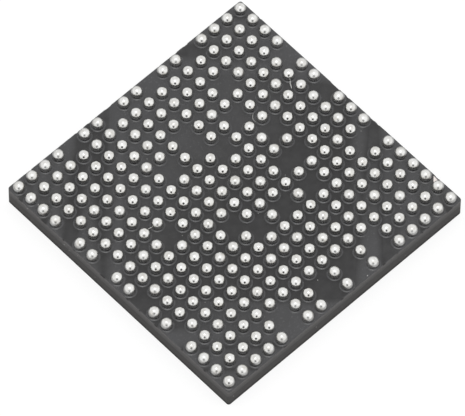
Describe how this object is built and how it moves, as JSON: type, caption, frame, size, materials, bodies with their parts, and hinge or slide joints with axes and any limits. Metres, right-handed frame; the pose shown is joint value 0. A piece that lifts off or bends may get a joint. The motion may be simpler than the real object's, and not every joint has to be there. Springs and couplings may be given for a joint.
{
  "type": "ball grid array chip",
  "caption": "Thin square chip package lying on its black moulding, with a fine-pitch grid of solder balls on its upper face and a small triangular index mark.",
  "frame": {"origin": "centre of the flat marking face, which the chip lies on", "axes": "+Z from the moulding to the solder balls; +X from ball row V to ball row A; +Y from ball 1 to ball 18 of each row"},
  "size_m": [0.009, 0.009, 0.001],
  "materials": {
    "mould_compound": "black silica-filled epoxy, sawn on the sides, fine matt on the marking face",
    "solder_mask": "dark grey semi-gloss photo-imaged solder mask",
    "laminate": "sawn glass cloth and resin laminate",
    "copper": "thin plated copper foil",
    "gold": "soft gold wire and plating",
    "silicon": "ground and polished silicon",
    "die_adhesive": "cured adhesive film",
    "solder": "reflowed tin-silver-copper solder, bright with a slightly frosted skin",
    "index_foil": "plated foil with a copper edge"
  },
  "bodies": {
    "root": {"mould_cap": "mould_compound", "laminate_core": "laminate", "ball_side_mask": "solder_mask", "die_side_mask": "solder_mask", "ball_pads": "copper", "via_barrels": "copper", "via_lands": "copper", "bond_fingers": "gold", "silicon_die": "silicon", "die_attach_film": "die_adhesive", "bond_wires": "gold", "index_mark": "index_foil", "balls_row_a": "solder", "balls_row_b": "solder", "balls_row_c": "solder", "balls_row_d": "solder", "balls_row_e": "solder", "balls_row_f": "solder", "balls_row_g": "solder", "balls_row_h": "solder", "balls_row_j": "solder", "balls_row_k": "solder", "balls_row_l": "solder", "balls_row_m": "solder", "balls_row_n": "solder", "balls_row_p": "solder", "balls_row_r": "solder", "balls_row_t": "solder", "balls_row_u": "solder", "balls_row_v": "solder"}
  },
  "joints": []
}
